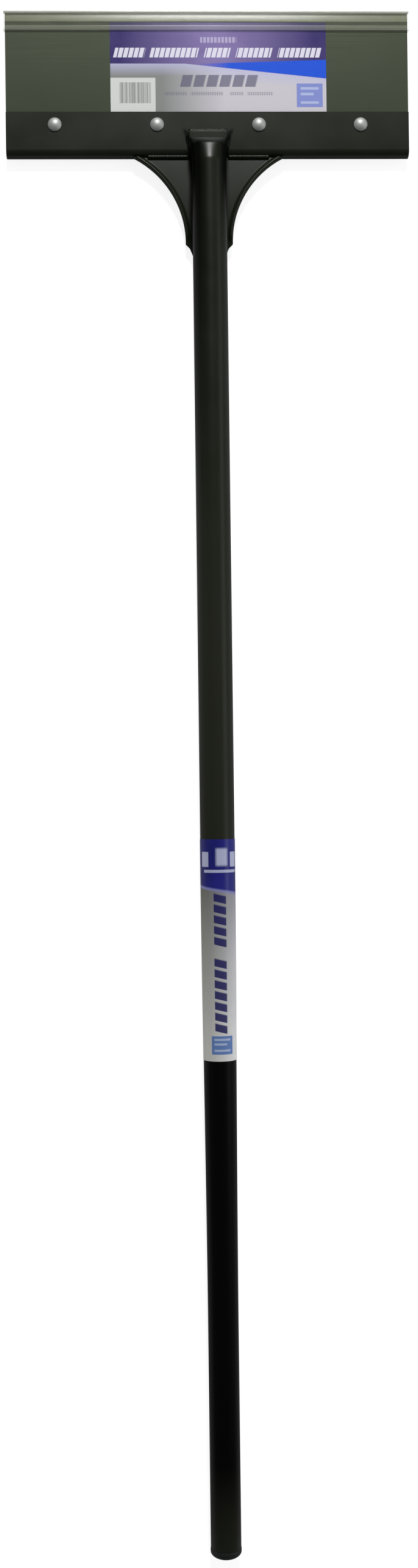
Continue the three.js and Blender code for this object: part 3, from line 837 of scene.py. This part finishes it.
def pale_floor():
    """A pale floor whose glow keeps it near white and stays out of the black coat's gloss."""
    p = Paint("pale_floor")
    grain = p.noise(p.scaled(0.01, 0.01, 0.01), 3)
    p.set(Base_Color=p.colour(grain, (0.44, 0.44, 0.44), (0.46, 0.46, 0.46)))
    p.set(Roughness=0.9, Specular_IOR_Level=0.1, Emission_Color=(1, 1, 1, 1))
    p.set(Emission_Strength=glow(p.tree, direct=0.84, scattered=0.95, mirrored=0))
    return p.material


# ---- Head plate and blade ---------------------------------------------------------------------


def box_shape(x0, y0, z0, x1, y1, z1):
    """A plain block, for the parts of a shape that are square."""
    ends = [[(x0, y0, z), (x1, y0, z), (x1, y1, z), (x0, y1, z)] for z in (z0, z1)]
    return loft(ends)


def head_plate(material):
    """The strip with its bent lip and the four square holes."""
    bend = (LIP_RADIUS, PLATE_FRONT - LIP_RADIUS)
    inner = LIP_RADIUS - PLATE_FRONT
    section = [(PLATE_TOP, PLATE_FRONT)]
    section += arc(bend, LIP_RADIUS, 90, 180, 16)
    section += [(0, LIP_END), (PLATE_FRONT, LIP_END)]
    section += arc(bend, inner, 180, 90, 12)
    section += [(PLATE_TOP, 0)]
    obj = raw_object("head_plate_coated", sweep_x(section, (-HEAD_HALF, HEAD_HALF)))
    low, high = BOLT_Y - SQUARE_HALF, BOLT_Y + SQUARE_HALF
    carve(obj, [box_shape(x - SQUARE_HALF, low, -CUT_REACH, x + SQUARE_HALF, high, CUT_REACH)
                for x in BOLT_XS])
    soften(obj, HEAD_SOFTENING)
    place(obj, material, "black_coat", "head_plate", sharp=0)


def blade(material):
    """A flat sheet with one ground bevel on its front, and round holes for the bolts."""
    section = [(BLADE_BOTTOM, BLADE_BACK), (BLADE_TOP, BLADE_BACK),
               (BLADE_TOP, BLADE_BACK + EDGE_THICKNESS),
               (BLADE_TOP - BEVEL_HEIGHT, BLADE_FRONT), (BLADE_BOTTOM, BLADE_FRONT)]
    obj = raw_object("blade_ground", sweep_x(section, (-HEAD_HALF, HEAD_HALF)))
    carve(obj, [loft([ring_z(HOLE_RADIUS, z, 48, x, BOLT_Y) for z in (-CUT_REACH, CUT_REACH)])
                for x in BOLT_XS])
    soften(obj, BLADE_SOFTENING, segments=2)
    place(obj, material, "blade_steel", "blade", sharp=0)


def blade_label(material):
    """The sticker on the blade's front."""
    low, high = BLADE_FRONT + SEAT_GAP, BLADE_FRONT + SEAT_GAP + STICKER
    outline = box_shape(LABEL_LEFT, LABEL_BOTTOM, low, LABEL_RIGHT, LABEL_TOP, high)
    obj = raw_object("blade_label_printed", outline)
    soften(obj, STICKER_SOFTENING, segments=2)
    place(obj, material, "blade_print", "blade_label", sharp=0)


def edge_guard(material):
    """A clear channel with a bead along each lip."""
    front = GUARD_INNER_FRONT + GUARD_WALL
    back = GUARD_INNER_BACK - GUARD_WALL
    corner = GUARD_WALL
    middle = (GUARD_BEAD_LOW + GUARD_BEAD_TOP) / 2
    reach = (GUARD_BEAD_TOP - GUARD_BEAD_LOW) / 2
    inner = GUARD_INNER_CORNER
    section = arc((GUARD_TOP - corner, back + corner), corner, -90, 0, 6)
    section += arc((GUARD_TOP - corner, front - corner), corner, 0, 90, 6)
    section += oval((middle, front), reach, GUARD_BEAD, 0, 180, 10)
    section += [(GUARD_MOUTH, front), (GUARD_MOUTH, GUARD_INNER_FRONT)]
    roof = GUARD_TOP - GUARD_WALL
    section += arc((roof - inner, GUARD_INNER_FRONT - inner), inner, 90, 0, 4)
    section += arc((roof - inner, GUARD_INNER_BACK + inner), inner, 0, -90, 4)
    section += [(GUARD_MOUTH, GUARD_INNER_BACK), (GUARD_MOUTH, back)]
    section += oval((middle, back), reach, GUARD_BEAD, -180, 0, 10)
    obj = raw_object("edge_guard_clear", sweep_x(section, (-GUARD_HALF, GUARD_HALF)))
    soften(obj, GUARD_SOFTENING, segments=2, limit=55)
    place(obj, material, "guard_plastic", "edge_guard", body="guard", sharp=0)


# ---- Fasteners ---------------------------------------------------------------------------------


def thread_ring(z, sides, x):
    """One ring of the threaded shank: a helix of V grooves."""
    ring = []
    for i in range(sides):
        share = i / sides
        phase = (z / THREAD_PITCH - share) % 1.0
        groove = 1 - abs(2 * phase - 1)
        cut = THREAD_DEPTH * min(1.0, THREAD_FLANK * groove)
        tail = between(z, BOLT_END, BOLT_END + BOLT_TAIL)
        radius = (SHANK_RADIUS - cut) - BOLT_TAIL * (1 - tail)
        a = math.tau * share
        ring.append((x + radius * math.cos(a), BOLT_Y + radius * math.sin(a), z))
    return ring


def dome_bolt(index, x, material):
    """A domed head, a square neck under it, and a threaded shank to the back."""
    sides = 48
    rings = [[(x, BOLT_Y, BOLT_END)]]
    rings += [thread_ring(z, sides, x) for z in steps(BOLT_END, THREAD_TOP, 88)]
    rings.append(ring_z(SHANK_RADIUS, SHANK_PLAIN, sides, x, BOLT_Y))
    rings.append(ring_z(SHANK_RADIUS, BOLT_SEAT, sides, x, BOLT_Y))
    for inset, up in DOME_EDGE:
        rings.append(ring_z(DOME_RADIUS - inset, BOLT_SEAT + up, sides, x, BOLT_Y))
    rise = DOME_HEIGHT - DOME_RIM
    ball = (DOME_RADIUS ** 2 + rise ** 2) / (2 * rise)
    sweep = math.asin(DOME_RADIUS / ball)
    for a in steps(sweep, 0, 12):
        height = BOLT_SEAT + DOME_HEIGHT - ball * (1 - math.cos(a))
        rings.append(ring_z(ball * math.sin(a) if a > 1e-6 else 0, height, sides, x, BOLT_Y))
    neck = box_shape(x - NECK_HALF, BOLT_Y - NECK_HALF, PLATE_FRONT - NECK_DEPTH,
                     x + NECK_HALF, BOLT_Y + NECK_HALF, BOLT_SEAT + NECK_OVERLAP)
    obj = raw_object(f"dome_bolt_{index}_plated", joined(loft(rings), neck))
    place(obj, material, "bolt_steel", f"dome_bolt_{index}")


def flat_washer(index, x, material):
    """A plain ring behind the blade, its outer edges rounded."""
    rim = WASHER_RADIUS - WASHER_ROUNDING
    profile = [
        (HOLE_RADIUS, WASHER_BACK),
        (rim, WASHER_BACK),
        (WASHER_RADIUS, WASHER_BACK + WASHER_ROUNDING),
        (WASHER_RADIUS, WASHER_FRONT - WASHER_ROUNDING),
        (rim, WASHER_FRONT),
        (HOLE_RADIUS, WASHER_FRONT),
    ]
    rings = [ring_z(r, z, 48, x, BOLT_Y) for r, z in profile + profile[:1]]
    obj = raw_object(f"flat_washer_{index}_plated", loft(rings, capped=False))
    place(obj, material, "zinc_plate", f"flat_washer_{index}")


def spring_washer(index, x, material):
    """A split ring, its two ends a little out of line."""
    gap = math.degrees(SPRING_SLOT / (SPRING_RADIUS + HOLE_RADIUS))
    rim = SPRING_RADIUS - SPRING_ROUNDING
    rings = []
    for degrees in steps(gap, 360 - gap, 60):
        shift = mix(SPRING_SET, -SPRING_SET, (degrees - gap) / (360 - 2 * gap))
        low, high = SPRING_BACK + SPRING_SET + shift, SPRING_FRONT - SPRING_SET + shift
        a = math.radians(degrees)
        section = [
            (HOLE_RADIUS, low),
            (rim, low),
            (SPRING_RADIUS, low + SPRING_ROUNDING),
            (SPRING_RADIUS, high - SPRING_ROUNDING),
            (rim, high),
            (HOLE_RADIUS, high),
        ]
        rings.append([(x + r * math.cos(a), BOLT_Y + r * math.sin(a), z) for r, z in section])
    obj = raw_object(f"spring_washer_{index}_plated", loft(rings))
    place(obj, material, "zinc_plate", f"spring_washer_{index}")


def hex_nut(index, x, material):
    """Flats cut back by a cone at both ends, as a real nut's are."""
    sides = 96
    flat = NUT_FLATS / 2
    cone = math.tan(math.radians(NUT_CONE))
    bore = SHANK_RADIUS + NUT_CLEARANCE
    mouth = HOLE_RADIUS + NUT_FLARE

    def hex_ring(z, depth):
        ring = []
        for i in range(sides):
            a = math.tau * i / sides
            reach = flat / math.cos((a + math.pi / 6) % (math.pi / 3) - math.pi / 6)
            radius = min(reach, flat - NUT_CHAMFER + depth / cone)
            ring.append((x + radius * math.cos(a), BOLT_Y + radius * math.sin(a), z))
        return ring

    rings = [ring_z(bore, NUT_BACK + NUT_MOUTH, sides, x, BOLT_Y)]
    rings.append(ring_z(mouth, NUT_BACK, sides, x, BOLT_Y))
    rings += [hex_ring(NUT_BACK + depth, depth) for depth in NUT_CHAMFER_STEPS]
    rings += [hex_ring(NUT_FRONT - depth, depth) for depth in reversed(NUT_CHAMFER_STEPS)]
    rings.append(ring_z(mouth, NUT_FRONT, sides, x, BOLT_Y))
    rings.append(ring_z(bore, NUT_FRONT - NUT_MOUTH, sides, x, BOLT_Y))
    rings.append(rings[0])
    obj = raw_object(f"hex_nut_{index}_plated", loft(rings, capped=False))
    place(obj, material, "zinc_plate", f"hex_nut_{index}", sharp=25)


# ---- Brace -------------------------------------------------------------------------------------


def brace_half(y, inset):
    """Half width at y, moved inwards: an arc that runs out into the parallel waist."""
    if y <= BRACE_WAIST_Y:
        return BRACE_WAIST - inset
    reach = BRACE_ARC + inset
    return BRACE_WAIST + BRACE_ARC - math.sqrt(reach ** 2 - (y - BRACE_WAIST_Y) ** 2)


def brace_section(y):
    """One cross-section: back, rounded rims along both edges, and the flat between them."""
    ebb = smooth(between(y, BRACE_SHOULDER_Y, BRACE_WAIST_Y + RIM_SINK))
    right = []
    for inset, z in RIM_PROFILE:
        height = z if z <= BRACE_FRONT else mix(BRACE_FRONT, z, mix(SHOULDER_RIM, 1, ebb))
        if y >= BRACE_SHOULDER_Y:
            x = brace_half(y, inset)
        else:
            step = between(y, BRACE_SHOULDER_Y, BRACE_STEP_Y)
            tail = between(y, BRACE_STEP_Y, BRACE_END_Y)
            half = mix(mix(BRACE_WAIST, BRACE_STEP, step), BRACE_END, tail)
            x = half - inset * mix(1, STEP_RIM, step)
            height = min(height, mix(height, BRACE_FRONT, step))  # the rim sinks into the step
        right.append((x, y, height))
    left = [(-x, y, z) for x, _, z in reversed(right)]
    return right + left


def brace_plate(material):
    """The stamped tongue between the strip and the tube."""
    ys = [BRACE_TOP]
    for share in steps(0, 1, 36)[1:]:
        ys.append(BRACE_TOP + (BRACE_WAIST_Y - BRACE_TOP) * math.sin(share * math.pi / 2))
    ys += steps(BRACE_WAIST_Y, BRACE_SHOULDER_Y, 2)[1:]
    ys += steps(BRACE_SHOULDER_Y, BRACE_STEP_Y, 3)[1:]
    ys += steps(BRACE_STEP_Y, BRACE_END_Y, 3)[1:]
    obj = raw_object("brace_plate_coated", loft([brace_section(y) for y in ys]))
    place(obj, material, "black_coat", "brace_plate", sharp=50)


# ---- Handle ------------------------------------------------------------------------------------


def tube_radius(y):
    """The tube's outside radius, which tapers below the wrap's top."""
    return mix(TUBE_RADIUS, GRIP_RADIUS, smooth(between(y, TAPER_TOP_Y, TAPER_END_Y)))


def ramp_height(share):
    """The pressed front's rise: steep off the flat, then a straight ramp, then into the round."""
    crest = RAMP_SLOPE * (1 - RAMP_END) / 2
    foot = 1 - crest - RAMP_SLOPE * (RAMP_END - RAMP_START)
    if share < RAMP_START:
        t = share / RAMP_START
        steep = 2 * foot / RAMP_START - RAMP_SLOPE
        return RAMP_START * (steep * t + (RAMP_SLOPE - steep) * t * t / 2)
    if share < RAMP_END:
        return foot + RAMP_SLOPE * (share - RAMP_START)
    t = (1 - share) / (1 - RAMP_END)
    return 1 - crest * t * t


def tube_ring(y, sides, shrink=0.0):
    """One ring of the tube's outside: round, or pressed towards the flat tip above ROUND_Y."""
    share = between(y, FLAT_END_Y, ROUND_Y)
    pinch = FOLD_PINCH * 4 * share * (1 - share)
    radius = tube_radius(y)
    back = mix(TIP_BACK, TUBE_BACK, between(y, STEP_TOP_Y, STEP_END_Y))
    front = mix(TIP_BACK + TIP_THICKNESS, TUBE_BACK + 2 * TUBE_RADIUS, ramp_height(share))
    half_width = mix(TUBE_RADIUS, TIP_HALF, 1 - smooth(between(y, TUBE_TIP_Y, ROUND_Y)))
    half_height = (front - back) / 2
    middle = (front + back) / 2
    if y <= ROUND_Y:
        half_width = half_height = radius
        middle = TUBE_AXIS
    square = mix(FLAT_SQUARENESS, 1, share ** SQUARE_FADE)
    ring = []
    for i in range(sides):
        a = math.tau * i / sides
        up = math.cos(a)
        lift = math.copysign(abs(up) ** square, up) if abs(up) > 1e-9 else 0.0
        across = (half_width - shrink) * (1 - pinch * max(0.0, lift)) * math.sin(a)
        ring.append((across, y, middle + (half_height - shrink) * lift))
    return ring


def handle_tube(material):
    """The tube, from its pressed tip to its open end, and back up inside its bore."""
    sides = 96
    rings = [[(0.0, TUBE_TIP_Y, TIP_BACK + TIP_THICKNESS / 2)]]
    for degrees in steps(0, 90, 5):
        a = math.radians(degrees)
        shrink = TIP_ROUNDING * (1 - math.sin(a))
        rings.append(tube_ring(TUBE_TIP_Y - TIP_ROUNDING * (1 - math.cos(a)), sides, shrink))
    ys = steps(TUBE_TIP_Y - TIP_ROUNDING, FLAT_END_Y, 6)[1:]
    ys += steps(FLAT_END_Y, ROUND_Y, 36)[1:]
    ys += steps(ROUND_Y, TAPER_TOP_Y, 24)[1:]
    ys += steps(TAPER_TOP_Y, TAPER_END_Y, 20)[1:]
    ys += steps(TAPER_END_Y, TUBE_END_Y + TUBE_END_RISE, 8)[1:]
    rings += [tube_ring(y, sides) for y in ys]
    inside = [(TUBE_END_Y, TUBE_END_INSET), (TUBE_END_Y, TUBE_WALL - TUBE_END_INSET),
              (TUBE_END_Y + TUBE_END_RISE, TUBE_WALL)]
    inside += [(y, TUBE_WALL) for y in steps(TAPER_END_Y, TAPER_TOP_Y, 12)]
    inside.append((BORE_TOP_Y, TUBE_WALL))
    rings += [ring_y(tube_radius(y) - inset, y, sides) for y, inset in inside]
    rings.append(ring_y(0, BORE_TOP_Y, sides))
    obj = raw_object("handle_tube_coated", loft(rings))
    place(obj, material, "black_coat", "handle_tube", sharp=50)


def end_cap(material):
    """A domed plug with a hollow stem inside the tube."""
    sides = 96
    profile = [(0, CAP_SEAT_Y - CAP_RIM - CAP_DOME)]
    for degrees in steps(5, 90, 17):
        a = math.radians(degrees)
        profile.append((CAP_RADIUS * math.sin(a), CAP_SEAT_Y - CAP_RIM - CAP_DOME * math.cos(a)))
    profile += [(CAP_RADIUS - inset, CAP_SEAT_Y - drop) for inset, drop in CAP_EDGE]
    tip_y = CAP_SEAT_Y + PLUG_LENGTH
    profile += [
        (PLUG_RADIUS, CAP_SEAT_Y),
        (PLUG_RADIUS, tip_y - PLUG_TIP_LENGTH),
        (PLUG_RADIUS - PLUG_TIP_INSET, tip_y),
        (PLUG_RADIUS - PLUG_WALL, tip_y),
        (PLUG_RADIUS - PLUG_WALL, CAP_SEAT_Y - CAP_RIM),
        (0, CAP_SEAT_Y - CAP_RIM),
    ]
    obj = raw_object("end_cap_moulded", loft([ring_y(r, y, sides) for r, y in profile]))
    place(obj, material, "cap_plastic", "end_cap", sharp=40)


def handle_label(material):
    """A film wound once round the tube, its end lapped over its start behind."""
    turns = steps(-180, WRAP_END_TURN, 100)
    under = [(WRAP_LAP * smooth(between(turn, *WRAP_LAP_TURN)), turn) for turn in turns]
    over = [(STICKER + lift, turn) for lift, turn in reversed(under)]
    rings = []
    for y in steps(WRAP_TOP_Y, WRAP_BOTTOM_Y, 24):
        inner = tube_radius(y) + SEAT_GAP
        ring = []
        for lift, turn in under + over:
            a = math.radians(turn)
            r = inner + lift
            ring.append((r * math.sin(a), y, TUBE_AXIS + r * math.cos(a)))
        rings.append(ring)
    obj = raw_object("handle_label_printed", loft(rings))
    place(obj, material, "handle_print", "handle_label", sharp=50)


# ---- Weld beads --------------------------------------------------------------------------------


def bead(name, material, radius, start, end, node):
    """A rippled bead between two points, with domed ends."""
    a, b = Vector(start), Vector(end)
    run = b - a
    length = run.length
    along = run.normalized()
    side = along.cross(Vector((0, 0, 1))).normalized()
    up = side.cross(along)
    sides = 20
    rings = [[tuple(a)]]
    count = int(length / BEAD_STATION)
    for i in range(1, count):
        t = length * i / count
        nose = min(t, length - t, radius)
        swell = math.sqrt(max(0.0, 1 - (1 - nose / radius) ** 2))
        wave = abs(math.sin(math.pi * t / RIPPLE_PITCH))
        ring = []
        for j in range(sides):
            turn = math.tau * j / sides
            bow = RIPPLE_BOW * (math.cos(turn) * swell - 0.5)
            centre = a + along * min(length, max(0.0, t + bow))
            r = swell * radius * (1 - RIPPLE_DEPTH * (1 - wave))
            ring.append(tuple(centre + side * r * math.sin(turn) + up * r * math.cos(turn)))
        rings.append(ring)
    rings.append([tuple(b)])
    obj = raw_object(name, loft(rings))
    place(obj, material, "weld_coat", node, sharp=0)


def weld_beads(material):
    """Seven beads: three round the tube's tip, two under the lip and two beside the tube."""
    tip_z = TIP_BACK + TIP_BEAD_RISE
    half = TIP_HALF - TIP_BEAD_INSET
    outer = half + TIP_SIDE_OUT
    top_y = TUBE_TIP_Y + TIP_BEAD_RISE
    bead("tip_bead_top", material, TIP_BEAD, (-half, top_y, tip_z), (half, top_y, tip_z),
         "tip_weld_top")
    lip_z = BRACE_FRONT + LIP_BEAD_RISE
    seam_z = BRACE_FRONT + SEAM_BEAD_RISE
    for name, s in (("left", -1), ("right", 1)):
        bead(f"tip_bead_{name}", material, TIP_BEAD,
             (s * outer, TUBE_TIP_Y - TIP_SIDE_START, tip_z),
             (s * (outer - TIP_SIDE_LEAN), TUBE_TIP_Y - TIP_SIDE_END, tip_z), f"tip_weld_{name}")
        bead(f"lip_bead_{name}", material, LIP_BEAD, (s * LIP_BEAD_START, LIP_BEAD_Y, lip_z),
             (s * LIP_BEAD_END, LIP_BEAD_Y, lip_z), f"lip_weld_{name}")
        bead(f"seam_bead_{name}", material, SEAM_BEAD, (s * SEAM_BEAD_X, SEAM_BEAD_START, seam_z),
             (s * SEAM_BEAD_X, SEAM_BEAD_END, seam_z), f"seam_weld_{name}")


# ---- Stage -------------------------------------------------------------------------------------


def floor():
    """A plain sheet under the tool, in metres."""
    square = ((-1, -1), (1, -1), (1, 1), (-1, 1))
    corners = [(FLOOR_HALF_M * x, FLOOR_HALF_M * y, 0) for x, y in square]
    obj = raw_object("floor", (corners, [[0, 1, 2, 3]]))
    obj.data.materials.append(pale_floor())


def lamp(name, place_mm, aim_mm, size, power):
    """A soft rectangular light."""
    data = bpy.data.lights.new(name, "AREA")
    data.shape = "RECTANGLE"
    data.size, data.size_y = size
    data.energy = power
    obj = bpy.data.objects.new(name, data)
    bpy.context.scene.collection.objects.link(obj)
    spot, aim = HEAD @ (Vector(place_mm) * MM), HEAD @ (Vector(aim_mm) * MM)
    turn = (aim - spot).to_track_quat("-Z", "Y").to_matrix().to_4x4()
    obj.matrix_world = Matrix.Translation(spot) @ turn


def studio():
    """The lights, and a white surround."""
    for row in LAMPS:
        lamp(*row)
    world = bpy.data.worlds.new("studio")
    bpy.context.scene.world = world
    world.use_nodes = True
    background = world.node_tree.nodes["Background"]
    background.inputs["Color"].default_value = (1, 1, 1, 1)
    strength = glow(world.node_tree, direct=0.84, scattered=0.23, mirrored=0.06)
    world.node_tree.links.new(strength, background.inputs["Strength"])


def camera():
    """Square to the handle, with the small turns that the view has."""
    yaw, roll = math.radians(CAMERA_YAW), math.radians(CAMERA_ROLL)
    turned = Matrix.Rotation(-yaw, 3, "Y")
    rolled = Matrix.Rotation(roll, 3, "Z")
    facing = (rolled @ turned).transposed()
    spot = Vector(CAMERA_TARGET) + facing @ Vector((0, 0, CAMERA_DISTANCE))
    data = bpy.data.cameras.new("camera")
    data.sensor_width = 36
    data.lens = CAMERA_LENS
    obj = bpy.data.objects.new("camera", data)
    bpy.context.scene.collection.objects.link(obj)
    obj.matrix_world = HEAD @ Matrix.Translation(spot * MM) @ facing.to_4x4()
    bpy.context.scene.camera = obj


# ---- The tool ----------------------------------------------------------------------------------


def build():
    """Every piece, with its material."""
    coat = powder_coat("black_powder_coat")
    weld_coat = powder_coat("coated_weld", ripple=0.05)
    plated = bright_zinc("bright_plate", (0.52, 0.54, 0.52), roughness=0.5, metallic=0.6)
    zinc = bright_zinc("zinc_plate", (0.66, 0.68, 0.68), roughness=0.3, metallic=1)
    head_plate(coat)
    blade(spring_steel())
    blade_label(blade_print())
    edge_guard(clear_plastic())
    brace_plate(coat)
    handle_tube(coat)
    end_cap(moulded_plastic())
    handle_label(handle_print())
    weld_beads(weld_coat)
    for i, x in enumerate(BOLT_XS):
        dome_bolt(i + 1, x, plated)
        flat_washer(i + 1, x, zinc)
        spring_washer(i + 1, x, zinc)
        hex_nut(i + 1, x, zinc)


camera()
floor()
studio()
build()
bpy.context.scene.view_settings.view_transform = "Standard"
